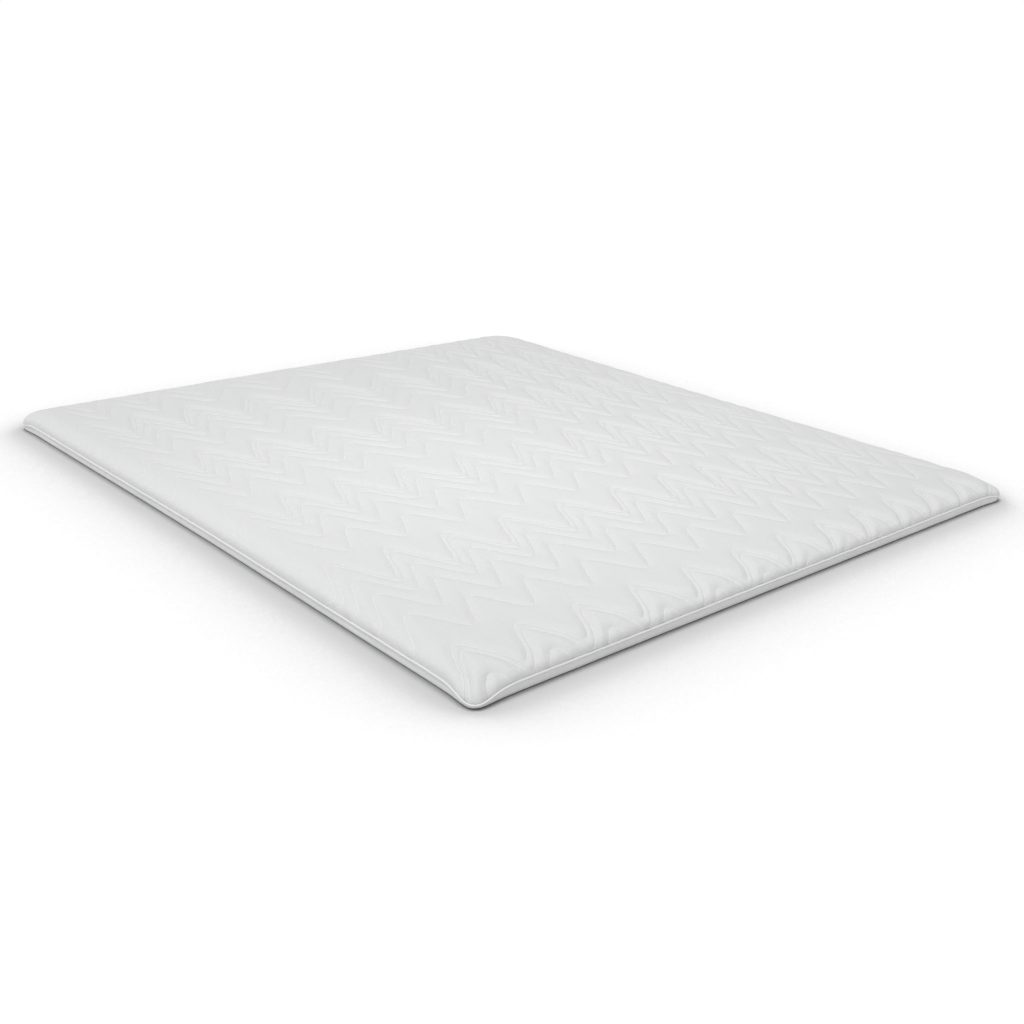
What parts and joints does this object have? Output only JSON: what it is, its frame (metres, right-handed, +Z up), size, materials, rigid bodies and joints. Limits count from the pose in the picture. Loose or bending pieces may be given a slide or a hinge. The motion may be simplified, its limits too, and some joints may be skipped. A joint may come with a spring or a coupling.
{
  "type": "memory foam mattress",
  "caption": "Thin flat memory foam mattress in a quilted zigzag cover with rolled edges, a piped seam all round, a plain base and a zip at the head end.",
  "frame": {"origin": "middle of the mattress at the height of the floor it lies on", "axes": "+Z up, +Y along the length to the head end, where the zip is, +X across the width"},
  "size_m": [1.8, 2, 0.0616],
  "materials": {
    "memory_foam": "matt open-cell foam",
    "liner_knit": "thin plain knit",
    "quilted_knit": "soft white knit, quilted",
    "wadding": "lofted polyester fibre",
    "backing_cloth": "thin non-woven",
    "quilting_thread": "white polyester thread",
    "piping_cloth": "smooth white binding cloth",
    "filler_cord": "soft cotton cord",
    "sewing_thread": "white polyester thread",
    "base_knit": "plain white knit",
    "zip_tape": "woven white tape",
    "zip_coil": "semi-gloss white nylon",
    "zip_metal": "white painted die-cast metal",
    "stop_metal": "satin",
    "label_satin": "blank white satin"
  },
  "bodies": {
    "mattress": {"foam_core": "memory_foam", "core_liner": "liner_knit", "panel_knit": "quilted_knit", "panel_wadding": "wadding", "panel_backing": "backing_cloth", "single_rows": "quilting_thread", "double_rows": "quilting_thread", "piping_cover": "piping_cloth", "piping_cord": "filler_cord", "seam_thread": "sewing_thread", "base_cloth": "base_knit", "zip_tape_upper": "zip_tape", "zip_tape_lower": "zip_tape", "zip_coil_upper": "zip_coil", "zip_coil_lower": "zip_coil", "zip_top_stops": "stop_metal", "zip_bottom_stop": "stop_metal", "zip_thread": "sewing_thread", "care_label": "label_satin"},
    "slider": {"zip_slider": "zip_metal"},
    "pull": {"zip_pull": "zip_metal"}
  },
  "joints": [
    {"name": "zip_slide", "type": "slide", "parent": "mattress", "child": "slider", "axis": [-1, 0, 0], "range_m": [0, 1.62]},
    {"name": "pull_swing", "type": "hinge", "parent": "slider", "child": "pull", "pos_m": [0.8105, 0.99801, 0.0165], "axis": [0, 0, -1], "range_deg": [0, 180]}
  ]
}
